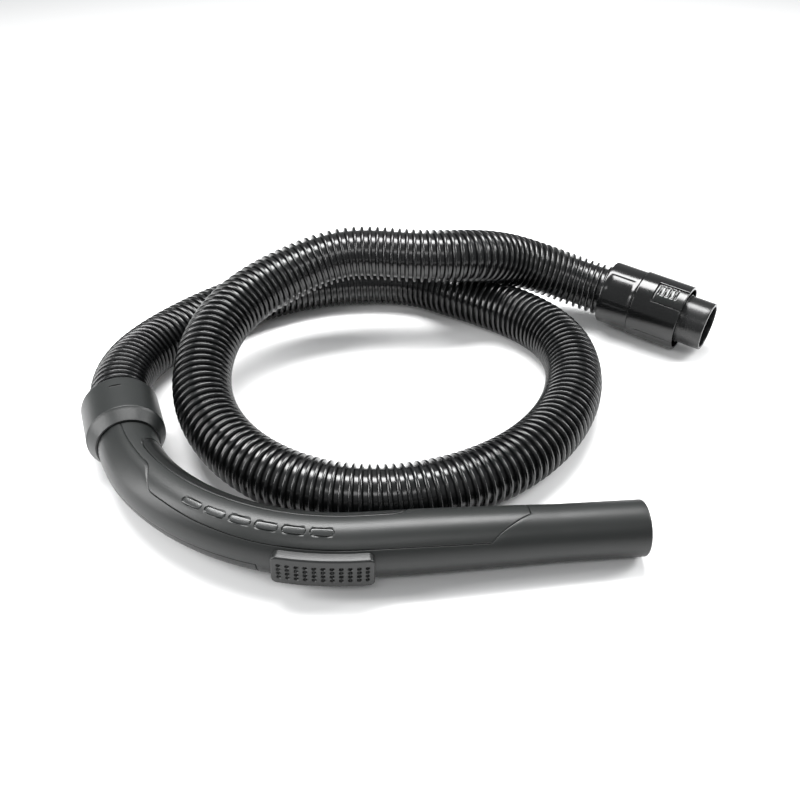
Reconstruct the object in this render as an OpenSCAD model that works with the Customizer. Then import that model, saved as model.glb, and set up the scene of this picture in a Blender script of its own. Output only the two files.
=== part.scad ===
// Hose assembly of a canister vacuum cleaner, lying on the floor in a loose coil:
// bent hand grip with a wand spigot and a suction slider, swivel collar,
// corrugated hose, and the latching plug that goes into the machine.
// Millimetres, +Z up, floor at Z = 0. +X is the way the wand leaves the grip.

/* [Hose] */
// Outer radius of the corrugated hose
hose_r = 20.5; // [19.5:0.1:20.5]
// Wall thickness of the hose between its inside and the crests
hose_wall = 1.5; // [1.5:0.1:3]
// Number of straight lengths along the hose
hose_steps = 72; // [40:1:78]

/* [Swivel collar] */
// Wall thickness of the collar
collar_wall = 2.7; // [1.8:0.1:3.5]
// Length of the cone from the collar to the grip
collar_cone = 9; // [6:0.5:12]
// Length of the grip's flange inside the collar
flange_len = 2.2; // [1.6:0.1:6]
// Number of snap windows around the collar
windows = 4; // [2:1:6]

/* [Hand grip] */
// Inner radius of the airway
airway_r = 15.2; // [13:0.1:15.4]
// Wall thickness of the core under the grip covers
core_wall = 1.8; // [1.4:0.1:2.4]
// Thickness of the grip covers
cover_wall = 2.6; // [2.2:0.1:3.2]
// Radius of the tighter bend beside the collar
bend1_r = 115; // [90:1:160]
// Angle of the tighter bend
bend1_a = 24; // [15:1:30]
// Radius of the long bend
bend2_r = 158; // [130:1:200]
// Angle of the long bend
bend2_a = 52; // [48:1:60]

/* [Wand spigot] */
// Wall thickness of the spigot that takes the wand
wand_wall = 2.3; // [1.6:0.1:2.6]
// Length of the spigot
wand_fit = 55; // [40:1:65]
// Straight length from the bend to the spigot's end
wand_len = 173; // [150:1:210]

/* [Suction slider] */
// Width of the slider across the grip
slider_w = 21; // [18:0.5:24]
// Angle that the slider covers along the long bend
slider_a = 19.5; // [16:0.1:20]
// Height of the slider's face above the grip
slider_h = 3.9; // [2.5:0.1:5]
// Angle that the slider travels towards the collar
slider_travel = 3.6; // [2:0.1:4]
// Width of the bleed slot under the slider
slot_w = 6; // [4:0.5:8]

/* [Machine plug] */
// Outer radius of the spigot that goes into the machine
spigot_r = 19; // [18:0.1:19.4]
// Wall thickness of that spigot
spigot_wall = 2.4; // [1.8:0.1:3]
// Length of that spigot beyond the shell
spigot_len = 19.5; // [14:0.5:26]
// Gap between the spigot and the front shell
shell_gap = 4.8; // [4:0.1:7]
// Length of the front shell
shell_len = 38; // [36:0.5:46]
// Wall thickness of the rear cuff
cuff_wall = 2.05; // [1.6:0.05:3]
// Length of the spigot's flange inside the rear cuff
plug_flange_len = 4.8; // [2:0.1:8]
// Angle of each latch tab around the shell
tab_a = 38; // [30:1:44]
// Length of each latch tab
tab_len = 24; // [20:0.5:32]

/* [Hidden] */
$fn = 96;
seam = 0.15;          // gap at a closed joint between two mouldings
play = 0.3;           // gap between pieces that turn or slide on each other
skin = 0.4;           // gap between the slider and the grip
lap = 0.5;            // length by which the stretches of one moulding run into each other
big = 400;

// Where the collar's hose end and the plug's hose end lie on the floor.
rim = [-215, 21];
collar_heading = -76;
plug = [163.5, 129];
plug_heading = -39;
plug_tilt = 3.5;
hose_in_collar = 25;
hose_in_plug = 14;

// Control points of the hose's centre line: x, y, and the height of its underside.
route = [
    [-197, -51, 5.5], [-209, -3, 5.5], [-221, 45, 5.5], [-211, 90, 1], [-179, 128, 0],
    [-139, 160, 0], [-92, 181, 0], [-41, 188, 0], [10, 181, 0], [39, 158, 0],
    [89, 119, 0], [115, 76, 0], [112, 24, 0], [89, -23, 0], [52, -59, 0],
    [5, -80, 0], [-48, -85, 0], [-96, -69, 0.5], [-137, -35, 3.5], [-160, 10, 13],
    [-157, 62, 24], [-135, 104, 34], [-96, 130, 42], [-47, 143, 54], [1, 130, 50],
    [51, 132, 48], [87, 153, 32], [138, 147, 11], [174.4, 120.2, 8.3], [207.8, 93.4, 5.6]];
hose_sides = 12;

// Radii that follow from one another, from the airway outwards.
ring_catch = 2.1;     // height of the shoulders that hold the turning pieces
ring_slack = 0.3;     // how far the rings stay inside the sleeve's outside
sleeve_wall = 2.15;
sleeve_lift = 0.5;    // gap between the sleeve and the collar around it
core_r = airway_r + core_wall;
grip_r = core_r + cover_wall;
wand_r = airway_r + wand_wall;
spigot_bore_r = spigot_r - spigot_wall;
spigot_seat = 0.4;    // step from the spigot up to the seat of the front shell
seat_r = spigot_r + spigot_seat;
hose_bore_r = hose_r - hose_wall;
sleeve_bore_r = hose_r + seam;
sleeve_r = max(sleeve_bore_r + sleeve_wall, grip_r + ring_catch, seat_r + ring_catch);
ring_r = sleeve_r - ring_slack;
ring_bore_r = airway_r + 1.8;
collar_bore_r = sleeve_r + sleeve_lift;
collar_r = collar_bore_r + collar_wall;
flange_r = collar_bore_r - play;
cuff_bore_r = sleeve_r + seam;
cuff_r = cuff_bore_r + cuff_wall;
plug_flange_r = cuff_bore_r - play;
shell_wall = 2.2;
shell_r = spigot_r + shell_gap + shell_wall;

// Collar: the inside, from the hose end towards the grip.
rim_step = 0.6;
stop_len = 4;
seal_len = 1.2;
thrust_len = 1;
ring_gap = 0.1;
handle_sleeve_len = hose_in_collar + stop_len;
handle_seal_at = handle_sleeve_len + ring_gap;
handle_thrust_at = handle_seal_at + seal_len + ring_gap;
flange_at = handle_thrust_at + thrust_len + ring_gap;
collar_len = flange_at + flange_len + play;
neck_len = collar_len + collar_cone;
cone_lip = 1.6;
window_w = 8;
window_len = 2.2;
window_at = 8.4;
window_turn = 0;
barb_sunk = 0.7;      // how far a barb's face lies under the collar's

// The grip is turned about the collar until the spigot's tip lies on the floor.
wand_reach = bend1_r + (bend2_r - bend1_r) * cos(bend1_a) - bend2_r * cos(bend1_a + bend2_a)
    + wand_len * sin(bend1_a + bend2_a);
wand_dip = asin((collar_r - wand_r) / wand_reach);

// Grip: angles around the tube, 0 outwards and level, 90 straight up.
cover_top_from = 38;
cover_top_to = 210;
cover_bottom_from = cover_top_to;
cover_bottom_to = 352;
cover_gap_a = 0.5;
inlay_from = 104;
inlay_to = 168;
inlay_depth = 1.3;
inlay_start = 9;
inlay_end = 29;
pads = 6;
pad_at = 15.6;
pad_step = 5.7;
pad_len_a = 4.9;
pad_angle = 73;
pad_turn = 1.9;       // each pad sits this much nearer the slider than the one before
pad_w_a = 14;
pad_depth = 0.8;
fit_at = wand_len - wand_fit;
cover_end = fit_at - 17;
cover_slant = 60;
cover_slant_at = fit_at - 46;
taper = [[0, grip_r - 0.2], [35, grip_r - 0.25], [fit_at - 28, grip_r - 1.3], [fit_at, wand_r]];
tip_edge = 0.8;

// Slider: angles along the long bend.
slider_past = 2.4;     // angle by which the slider runs on past the long bend
slider_end = bend2_a + slider_past;
slider_start = slider_end - slider_a;
cover_bottom_bend = slider_start - 3.2;
frame_w_a = 50;
frame_depth = 1.3;
frame_sunk = 0.2;
frame_from = slider_start + 1.2;
frame_to = bend2_a - 0.2;   // the slider runs on past the frame
slot_from = slider_start + 2.8;
slot_to = bend2_a - 1.7;
stem_a = 3.4;
stem_from = slot_from + slider_travel + 0.4;
plate_a = 7;
plate_w = 12;
plate_thick = 1.2;

// Plug: distances from its hose end towards the machine.
plug_stop_len = 3.2;
plug_sleeve_len = hose_in_plug + plug_stop_len;
plug_seal_at = plug_sleeve_len + ring_gap;
plug_thrust_at = plug_seal_at + seal_len + ring_gap;
plug_flange_at = plug_thrust_at + thrust_len + ring_gap;
lip_len = 1.5;
cuff_len = plug_flange_at + plug_flange_len + play + lip_len;
cuff_edge = 1;
shell_at = cuff_len + play;
shell_end = shell_at + shell_len;
shell_edge = 0.8;
web_len = 3;
tab_at = shell_end - tab_len;
tab_swing = 0.6;      // extra room beside the free edge of each tab, which moves as it swings in
tab_from = 42;
hook_len = 2.5;
hook_h = 1.5;
hook_back = 1;
plug_z = max(shell_r * cos(plug_tilt) + shell_end * sin(plug_tilt),
             cuff_r * cos(plug_tilt) + cuff_len * sin(plug_tilt));

// ---- places ----

module collar_place() translate([rim.x, rim.y, collar_r]) rotate(collar_heading - 90) children();
module handle_place() collar_place() rotate([0, -wand_dip, 0]) children();
module collar_axis() collar_place() rotate([-90, 0, 0]) children();
module handle_axis() handle_place() rotate([-90, 0, 0]) children();
module first_bend() handle_place() translate([-bend1_r, neck_len, 0]) children();
module second_bend() first_bend() rotate(bend1_a) translate([bend1_r - bend2_r, 0, 0]) children();
module wand_start() second_bend() rotate(bend2_a) translate([bend2_r, 0, 0]) children();
module wand_axis() wand_start() rotate([-90, 0, 0]) children();
module plug_axis() translate([plug.x, plug.y, plug_z]) rotate(plug_heading)
    rotate([0, 90 + plug_tilt, 0]) children();

// ---- shared shapes ----

// A plain ring of length h.
module ring(outer, inner, h) rotate_extrude() translate([inner, 0]) square([outer - inner, h]);

// The slice of the plane between two angles.
module wedge(from, to) {
    mid = (from + to) / 2;
    polygon([[0, 0], for (a = [from, mid, to]) 3 * grip_r * [cos(a), sin(a)]]);
}

// A curved strip of the tube's wall, seen end on.
module strip(outer, inner, from, to) intersection() {
    difference() { circle(outer); circle(inner); }
    wedge(from, to);
}

// Each next stretch k of a moulding is a hair slimmer, so that it joins inside the last one.
function slim(k) = 0.04 * k;
function narrow(k) = 0.15 * k;
function degrees(length, radius) = length / radius * 180 / PI;

// Sweeps a section of the tube around the long or the short bend.
module round_bend1(from, to) first_bend() rotate(from)
    rotate_extrude(angle = to - from) translate([bend1_r, 0]) children();
module round_bend2(from, to) second_bend() rotate(from)
    rotate_extrude(angle = to - from) translate([bend2_r, 0]) children();
// Sweeps a section along the straight part, from one distance to another.
module along_wand(from, to) wand_start() translate([0, to, 0]) rotate([90, 0, 0])
    linear_extrude(to - from) children();

// The straight part as a solid of revolution, hollow inside the radius bore.
module wand_body(bore = 0) wand_axis() rotate_extrude()
    polygon([[bore, -lap], [taper[0][1], -lap], for (t = taper) [t[1], t[0]], [wand_r, wand_len - tip_edge],
             [wand_r - tip_edge, wand_len], [bore, wand_len]]);

// Everything above the top cover's slanted front edge, cut back by g.
module cover_reach(g = 0) wand_start() difference() {
    translate([-big / 2, -2, -big / 2]) cube([big, cover_end + 2 - g, big]);
    translate([core_r, cover_slant_at - g / cos(cover_slant), -big / 2]) rotate(-cover_slant)
        translate([-big / 2, 0, 0]) cube([big, big, big]);
}

// ---- hose ----

function spline(a, b, c, d, t) = ((1 - t)^3 * a + (3 * t^3 - 6 * t^2 + 4) * b
    + (-3 * t^3 + 3 * t^2 + 3 * t + 1) * c + t^3 * d) / 6;
function control(i) = route[i] + [0, 0, hose_r];
spans = len(route) - 3;
function centre(u) = let (i = min(floor(u * spans), spans - 1), t = u * spans - i)
    spline(control(i), control(i + 1), control(i + 2), control(i + 3), t);
function unit(v) = v / norm(v);
function heading(u) = unit(centre(min(u + 0.001, 1)) - centre(max(u - 0.001, 0)));
function hose_ring(u, r) = let (c = centre(u), d = heading(u),
        side = unit(cross(d, [0, 0, 1])), up = cross(side, d))
    [for (k = [0 : hose_sides - 1]) c + r * (cos(k * 360 / hose_sides) * up
        + sin(k * 360 / hose_sides) * side)];

module hose() {
    n = hose_sides;
    rings = hose_steps + 1;
    outside = [for (i = [0 : hose_steps]) each hose_ring(i / hose_steps, hose_r)];
    inside = [for (i = [0 : hose_steps]) each hose_ring(i / hose_steps, hose_bore_r)];
    m = n * rings;
    walls = [for (i = [0 : hose_steps - 1], k = [0 : n - 1]) let (a = i * n + k, b = i * n + (k + 1) % n)
        each [[a, b, b + n, a + n], [m + a, m + a + n, m + b + n, m + b]]];
    ends = [for (k = [0 : n - 1]) let (b = (k + 1) % n, e = m - n)
        each [[k, m + k, m + b, b], [e + k, e + b, m + e + b, m + e + k]]];
    color("#1b1c1c") polyhedron(concat(outside, inside), concat(walls, ends), convexity = 8);
}

// ---- collar end ----

module windows_at(grow = 0, from, to) for (i = [0 : windows - 1])
    rotate(window_turn + i * 360 / windows)
        translate([from, -window_w / 2 - grow, window_at - grow])
            cube([to - from, window_w + 2 * grow, window_len + 2 * grow]);

module swivel_collar() color("#454847") collar_axis() difference() {
    rotate_extrude() polygon([[collar_bore_r, 0], [collar_r - rim_step, 0], [collar_r, rim_step],
        [collar_r, collar_len], [grip_r + cone_lip, neck_len], [grip_r + play, neck_len],
        [grip_r + play, collar_len], [collar_bore_r, collar_len]]);
    windows_at(0, collar_bore_r - 2, collar_r + 2);
}

module handle_hose_sleeve() color("#2a2b2b") collar_axis() {
    rotate_extrude() polygon([[sleeve_bore_r, rim_step], [sleeve_r, rim_step],
        [sleeve_r, handle_sleeve_len], [ring_bore_r, handle_sleeve_len],
        [ring_bore_r, hose_in_collar + seam], [sleeve_bore_r, hose_in_collar + seam]]);
    windows_at(-seam, sleeve_r - lap, collar_r - barb_sunk);
}

module handle_seal() color("#141414") collar_axis()
    translate([0, 0, handle_seal_at]) ring(ring_r, ring_bore_r, seal_len);

module handle_thrust_ring() color("#c9c8c0") collar_axis()
    translate([0, 0, handle_thrust_at]) ring(ring_r, ring_bore_r, thrust_len);

// ---- hand grip ----

// The bed of a cover on stretch k of the core.
module bed(k, from, to) strip(2 * grip_r, core_r - slim(k), from + narrow(k), to - narrow(k));

module tube_section(k) difference() { circle(grip_r - slim(k)); circle(airway_r + slim(k)); }

module handle_tube() color("#474a49") difference() {
    union() {
        handle_axis() rotate_extrude() polygon([[airway_r, flange_at],
            [flange_r, flange_at], [flange_r, flange_at + flange_len],
            [grip_r, flange_at + flange_len], [grip_r, neck_len], [airway_r, neck_len]]);
        round_bend1(-degrees(lap, bend1_r), bend1_a) tube_section(1);
        round_bend2(-degrees(lap, bend2_r), bend2_a) tube_section(2);
        wand_body(airway_r + slim(3));
    }
    round_bend1(0, bend1_a) bed(1, cover_top_from, cover_top_to);
    round_bend1(0, bend1_a) bed(1, cover_bottom_from - 1, cover_bottom_to);
    round_bend2(-degrees(lap, bend2_r), bend2_a) bed(2, cover_top_from, cover_top_to);
    round_bend2(-degrees(lap, bend2_r), cover_bottom_bend) bed(2, cover_bottom_from - 1, cover_bottom_to);
    intersection() {
        along_wand(-lap, cover_end) bed(3, cover_top_from, cover_top_to);
        cover_reach();
    }
    round_bend2(frame_from, frame_to) strip(2 * grip_r, grip_r - frame_depth, -frame_w_a / 2, frame_w_a / 2);
    round_bend2(slot_from, slot_to) slot_section();
}

// The slot's section.
module slot_section() translate([airway_r - 4, -slot_w / 2]) square([10, slot_w]);

// A grip cover's section on stretch k.
module cover_section(k, from, to, outer = grip_r) strip(outer - slim(k), core_r + seam - slim(k),
    from + narrow(k) + cover_gap_a, to - narrow(k) - cover_gap_a);

module grip_cover_top() color("#4b4e4d") difference() {
    union() {
        round_bend1(degrees(seam, bend1_r), bend1_a) cover_section(1, cover_top_from, cover_top_to);
        round_bend2(-degrees(lap, bend2_r), bend2_a) cover_section(3, cover_top_from, cover_top_to);
        intersection() {
            along_wand(-lap, cover_end) cover_section(4, cover_top_from, cover_top_to, 2 * grip_r);
            wand_body();
            cover_reach(seam);
        }
    }
    inlay_shape(seam, 2);
    pads_shape(seam, 2);
}

module grip_cover_bottom() color("#434645") {
    round_bend1(degrees(seam, bend1_r), bend1_a) cover_section(1, cover_bottom_from, cover_bottom_to);
    round_bend2(-degrees(lap, bend2_r), cover_bottom_bend - degrees(seam, bend2_r))
        cover_section(2, cover_bottom_from, cover_bottom_to);
}

// The soft strip on the inner side of the bend, grown by g and raised by up.
module inlay_shape(g = 0, up = 0) {
    a = degrees(g, grip_r);
    module section(k) strip(grip_r + up - slim(k), grip_r - inlay_depth - g - slim(k),
        inlay_from - a + narrow(k), inlay_to + a - narrow(k));
    round_bend1(inlay_start - degrees(g, bend1_r), bend1_a) section(1);
    round_bend2(-degrees(lap, bend2_r), bend2_a) section(3);
    along_wand(-lap, inlay_end + g) section(5);
}

module grip_inlay() color("#3a3c3c") inlay_shape();

// The raised finger pads, grown by g and raised by up.
module pads_shape(g = 0, up = 0) for (i = [0 : pads - 1]) {
    mid = pad_at + i * pad_step;
    a = degrees(g, bend2_r);
    b = degrees(g, grip_r);
    round_bend2(mid - pad_len_a / 2 - a, mid + pad_len_a / 2 + a)
        strip(grip_r + up, grip_r - pad_depth - g,
              pad_angle - i * pad_turn - pad_w_a / 2 - b, pad_angle - i * pad_turn + pad_w_a / 2 + b);
}

module grip_pads() color("#5c5f5e") pads_shape();

// ---- suction slider ----

module vent_frame() color("#232424") difference() {
    round_bend2(frame_from + degrees(seam, bend2_r), frame_to - degrees(seam, bend2_r))
        strip(grip_r - frame_sunk, grip_r - frame_depth + seam, 1 - frame_w_a / 2, frame_w_a / 2 - 1);
    round_bend2(slot_from, slot_to) slot_section();
}

module suction_slider() color("#3d403f") round_bend2(slider_start, slider_end) difference() {
    translate([grip_r - 7, -slider_w / 2]) square([7 + slider_h, slider_w]);
    circle(grip_r + skin);
}

// The stem under the slider and the plate that holds it inside the airway.
module slider_carrier() color("#2a2b2b") {
    stem_mid = stem_from + stem_a / 2;
    round_bend2(stem_from, stem_from + stem_a) intersection() {
        translate([airway_r - 1, play - slot_w / 2]) square([grip_r, slot_w - 2 * play]);
        circle(grip_r + skin - seam);
    }
    round_bend2(stem_mid - plate_a / 2, stem_mid + plate_a / 2) intersection() {
        difference() { circle(airway_r - play); circle(airway_r - play - plate_thick); }
        translate([0, -plate_w / 2]) square([grip_r, plate_w]);
    }
}

// ---- machine plug ----

module rear_cuff() color("#191a1a") plug_axis() rotate_extrude()
    polygon([[cuff_bore_r, 0], [cuff_r - cuff_edge, 0], [cuff_r, cuff_edge], [cuff_r, cuff_len],
             [seat_r + play, cuff_len], [seat_r + play, cuff_len - lip_len],
             [cuff_bore_r, cuff_len - lip_len]]);

module machine_hose_sleeve() color("#2a2b2b") plug_axis() rotate_extrude()
    polygon([[sleeve_bore_r, rim_step], [sleeve_r, rim_step], [sleeve_r, plug_sleeve_len],
             [ring_bore_r, plug_sleeve_len], [ring_bore_r, hose_in_plug + seam],
             [sleeve_bore_r, hose_in_plug + seam]]);

module machine_seal() color("#141414") plug_axis()
    translate([0, 0, plug_seal_at]) ring(ring_r, ring_bore_r, seal_len);

module machine_thrust_ring() color("#c9c8c0") plug_axis()
    translate([0, 0, plug_thrust_at]) ring(ring_r, ring_bore_r, thrust_len);

module machine_spigot() color("#1d1e1e") plug_axis() rotate_extrude()
    polygon([[spigot_bore_r, plug_flange_at], [plug_flange_r, plug_flange_at],
             [plug_flange_r, plug_flange_at + plug_flange_len], [seat_r, plug_flange_at + plug_flange_len],
             [seat_r, shell_end], [spigot_r, shell_end],
             [spigot_r, shell_end + spigot_len - tip_edge], [spigot_r - tip_edge, shell_end + spigot_len],
             [spigot_bore_r, shell_end + spigot_len]]);

// A latch tab's outline around the shell, grown by g.
module tab_shape(outer, inner, g = 0, swing = 0) {
    a = degrees(g, shell_r);
    translate([0, 0, tab_at - g]) linear_extrude(tab_len + 2 * g) intersection() {
        difference() { circle(outer); circle(inner); }
        wedge(-90 - tab_from - tab_a - a - degrees(swing, shell_r), -90 - tab_from + a);
    }
}

module latch_tab() {
    tab_shape(shell_r, shell_r - shell_wall);
    translate([0, 0, shell_end - hook_len - hook_back]) linear_extrude(hook_len) intersection() {
        difference() { circle(shell_r - shell_wall + seam); circle(shell_r - shell_wall - hook_h); }
        wedge(-90 - tab_from - tab_a + 2, -90 - tab_from - tab_a / 2);
    }
}

module connector_shell() color("#1b1c1c") plug_axis() difference() {
    rotate_extrude() polygon([[seat_r, shell_at], [shell_r - shell_edge, shell_at],
        [shell_r, shell_at + shell_edge], [shell_r, shell_end - shell_edge],
        [shell_r - shell_edge, shell_end], [shell_r - shell_wall, shell_end],
        [shell_r - shell_wall, shell_at + web_len], [seat_r, shell_at + web_len]]);
    for (turn = [0, 180]) rotate(turn) tab_shape(shell_r + 2, shell_r - shell_wall - 1, play, tab_swing);
}

module latch_tab_upper() color("#202121") plug_axis() latch_tab();
module latch_tab_lower() color("#202121") plug_axis() rotate(180) latch_tab();

hose();
swivel_collar();
handle_hose_sleeve();
handle_seal();
handle_thrust_ring();
handle_tube();
grip_cover_top();
grip_cover_bottom();
grip_inlay();
grip_pads();
vent_frame();
suction_slider();
slider_carrier();
rear_cuff();
machine_hose_sleeve();
machine_seal();
machine_thrust_ring();
machine_spigot();
connector_shell();
latch_tab_upper();
latch_tab_lower();
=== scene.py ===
import bpy, bmesh, math
import numpy as np
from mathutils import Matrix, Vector


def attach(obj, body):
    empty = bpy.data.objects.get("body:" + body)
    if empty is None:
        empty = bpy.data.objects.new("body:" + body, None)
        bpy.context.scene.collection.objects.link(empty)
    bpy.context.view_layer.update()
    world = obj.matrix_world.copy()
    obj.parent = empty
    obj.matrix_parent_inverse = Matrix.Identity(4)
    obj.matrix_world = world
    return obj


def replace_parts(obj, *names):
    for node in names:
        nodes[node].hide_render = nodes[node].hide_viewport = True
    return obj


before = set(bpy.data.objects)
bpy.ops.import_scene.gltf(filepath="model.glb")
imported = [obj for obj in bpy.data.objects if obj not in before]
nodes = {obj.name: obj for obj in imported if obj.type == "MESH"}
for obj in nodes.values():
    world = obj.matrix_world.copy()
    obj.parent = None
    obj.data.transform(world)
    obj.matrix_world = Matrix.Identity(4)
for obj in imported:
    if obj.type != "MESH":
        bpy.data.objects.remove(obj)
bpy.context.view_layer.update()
mm = 0.001
rad = math.radians
print("frame loaded:", len(nodes), "nodes")

# Where the grip and the plug lie, in millimetres and degrees.
layout = dict(rim=(-215, 21, 26), collarHeading=-76, gripDip=1.716, plug=(163.5, 129, 29.895),
              plugHeading=-39, plugTilt=3.5)
# The tube of the grip: straight neck, tighter bend, long bend, straight spigot.
gripLine = dict(neck=43, bend1R=115, bend1A=24, bend2R=158, bend2A=52, straight=173, fitFrom=118)


def turnZ(a):
    c, s = math.cos(rad(a)), math.sin(rad(a))
    return np.array([[c, -s, 0], [s, c, 0], [0, 0, 1]])


def turnY(a):
    c, s = math.cos(rad(a)), math.sin(rad(a))
    return np.array([[c, 0, s], [0, 1, 0], [-s, 0, c]])


def placeCollar(p):  # local millimetres (outward, along, up) to the row frame in metres
    return (p @ turnZ(layout["collarHeading"] - 90).T + layout["rim"]) * mm


def placeGrip(p):
    return placeCollar(p @ turnY(-layout["gripDip"]).T)


def placePlug(p):  # local millimetres, z along the plug's axis
    m = turnZ(layout["plugHeading"]) @ turnY(90 + layout["plugTilt"])
    return (p @ m.T + layout["plug"]) * mm


bend1Len = gripLine["bend1R"] * rad(gripLine["bend1A"])
bend2Len = gripLine["bend2R"] * rad(gripLine["bend2A"])
bend2At = gripLine["neck"] + bend1Len
wandAt = bend2At + bend2Len
tipAt = wandAt + gripLine["straight"]


def alongBend2(a):  # distance from the rim of a point at angle a on the long bend
    return bend2At + gripLine["bend2R"] * rad(1) * a


# A point of the grip: distance s along the tube's axis, x outwards of it, h above it.
# The axis is the neck's line plus the two arcs and the straight, each cut off at its own length.
def gripPoint(s, x, h):
    s, x, h = np.broadcast_arrays(*[np.asarray(v, float) for v in (s, x, h)])
    r1, r2 = gripLine["bend1R"], gripLine["bend2R"]
    a = np.clip((s - gripLine["neck"]) / r1, 0, rad(gripLine["bend1A"]))
    b = np.clip((s - bend2At) / r2, 0, rad(gripLine["bend2A"]))
    d = np.maximum(s - wandAt, 0)
    e = a + b
    px = r1 * (np.cos(a) - 1) + r2 * (np.cos(e) - np.cos(a)) - d * np.sin(e)
    py = np.minimum(s, gripLine["neck"]) + r1 * np.sin(a) + r2 * (np.sin(e) - np.sin(a)) + d * np.cos(e)
    return placeGrip(np.stack([px + x * np.cos(e), py + x * np.sin(e), h], -1))


def gripWall(s, phi, r):  # the same point from the angle round the tube and the radius
    return gripPoint(s, r * np.cos(np.radians(phi)), r * np.sin(np.radians(phi)))


def gripRadius(s):  # outside radius: nearly even round the bends, then tapering to the spigot
    return np.interp(s, [gripLine["neck"], wandAt - 0.01, wandAt, wandAt + 35, wandAt + 90, wandAt + 118],
                     [19.56, 19.48, 19.38, 19.33, 18.28, 17.48])


# Grid lines from low to high: even steps, and finer ones close to each edge.
def lines(low, high, step, edges=(), fine=(-0.9, -0.6, -0.35, -0.15, 0, 0.15, 0.35, 0.6, 0.9)):
    even = np.linspace(low, high, max(2, int(math.ceil((high - low) / step)) + 1))
    close = np.array([e + f for e in edges for f in fine])
    keep = [v for v in even if not len(close) or np.min(np.abs(close - v)) > step * 0.4]
    out = np.unique(np.round(np.concatenate([keep, close, [low, high]]), 5))
    return out[(out >= low) & (out <= high)]


def dip(d, r):  # how far a rounded edge of radius r lies below the face, at distance d from the edge
    d = np.clip(d, 0, r)
    return r - np.sqrt(np.maximum(r * r - (r - d) ** 2, 0))


def ease(x):
    x = np.clip(x, 0, 1)
    return x * x * (3 - 2 * x)


def finishMesh(name, verts, faces, body, sharp=38, uv=None):
    mesh = bpy.data.meshes.new(name)
    mesh.from_pydata(verts.reshape(-1, 3).tolist(), [], faces.tolist() if isinstance(faces, np.ndarray)
                     else faces)
    bm = bmesh.new()
    bm.from_mesh(mesh)
    if uv is not None:
        layer = bm.loops.layers.uv.new("UVMap")
        for f in bm.faces:
            for l in f.loops:
                l[layer].uv = uv[l.vert.index]
    bmesh.ops.remove_doubles(bm, verts=bm.verts, dist=1e-6)
    bmesh.ops.dissolve_degenerate(bm, dist=1e-7, edges=bm.edges)
    bmesh.ops.recalc_face_normals(bm, faces=bm.faces)
    openEdges = sum(1 for e in bm.edges if not e.is_manifold)
    bm.to_mesh(mesh)
    bm.free()
    mesh.shade_smooth()
    mesh.set_sharp_from_angle(angle=rad(sharp))
    obj = bpy.data.objects.new(name, mesh)
    bpy.context.scene.collection.objects.link(obj)
    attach(obj, body)
    print(name, len(mesh.polygons), "faces", ("open edges %d" % openEdges) if openEdges else "closed")
    return obj


# Quads between neighbouring rows and columns of a grid of points; either way can close on itself.
def gridFaces(nu, nv, closeU=False, closeV=False, start=0):
    i, j = np.meshgrid(np.arange(nu if closeU else nu - 1), np.arange(nv if closeV else nv - 1),
                       indexing="ij")
    i, j = i.ravel(), j.ravel()
    k, l = (i + 1) % nu, (j + 1) % nv
    return start + np.stack([i * nv + j, i * nv + l, k * nv + l, k * nv + j], -1)


# A wall between an outer and an inner grid of the same size, with its rim closed and rectangular holes left
# out.
def walled(outer, inner, closeV, holes=()):
    nu, nv = outer.shape[:2]
    n = nu * nv
    faces = gridFaces(nu, nv, False, closeV)
    ij = faces[:, 0]
    keep = np.ones(len(faces), bool)
    sides = []
    for i0, i1, j0, j1 in holes:
        keep &= ~((ij // nv >= i0) & (ij // nv < i1) & (ij % nv >= j0) & (ij % nv < j1))
        loop = [(i0, j) for j in range(j0, j1)] + [(i, j1) for i in range(i0, i1)] + \
               [(i1, j) for j in range(j1, j0, -1)] + [(i, j0) for i in range(i1, i0, -1)]
        sides.append(loop + loop[:1])
    faces = faces[keep]
    edges = [[(0, j) for j in range(nv + closeV)], [(nu - 1, j) for j in range(nv + closeV)]]
    if not closeV:
        edges += [[(i, 0) for i in range(nu)], [(i, nv - 1) for i in range(nu)]]
    strips = []
    for loop in edges + sides:
        a = np.array([i * nv + j % nv for i, j in loop])
        strips.append(np.stack([a[:-1], a[1:], a[1:] + n, a[:-1] + n], -1))
    verts = np.concatenate([outer.reshape(-1, 3), inner.reshape(-1, 3)])
    return verts, np.concatenate([faces, faces + n] + strips)


# A turned ring: a closed profile of (radius, distance) points carried round the axis.
def turned(profile, count, place, field=None):
    profile = np.asarray(profile, float)
    ang = np.linspace(0, 2 * np.pi, count, endpoint=False)
    r = profile[:, 0][:, None] + (0 if field is None
                                  else field(profile[:, None, 0], profile[:, None, 1],
                                             np.degrees(ang)[None, :]))
    z = np.broadcast_to(profile[:, 1][:, None], r.shape if r.shape[1] == count else (len(profile), count))
    r = np.broadcast_to(r, z.shape)
    pts = place(np.stack([r * np.cos(ang), r * np.sin(ang), z], -1))
    return pts, gridFaces(len(profile), count, True, True)


# Rounds the corners of a closed (radius, distance) profile: each corner becomes a short arc of the given
# radius.
def rounded(points, sizes, steps=4):
    out, n = [], len(points)
    for i in range(n):
        p, q, t = (np.array(points[k % n], float) for k in (i - 1, i, i + 1))
        a, b = p - q, t - q
        r = min(sizes[i], 0.45 * np.linalg.norm(a), 0.45 * np.linalg.norm(b))
        if r <= 0:
            out.append(q)
            continue
        a, b = q + a / np.linalg.norm(a) * r, q + b / np.linalg.norm(b) * r
        for k in np.linspace(0, 1, steps):
            out.append((1 - k) ** 2 * a + 2 * k * (1 - k) * q + k * k * b)
    return np.array(out)


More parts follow.
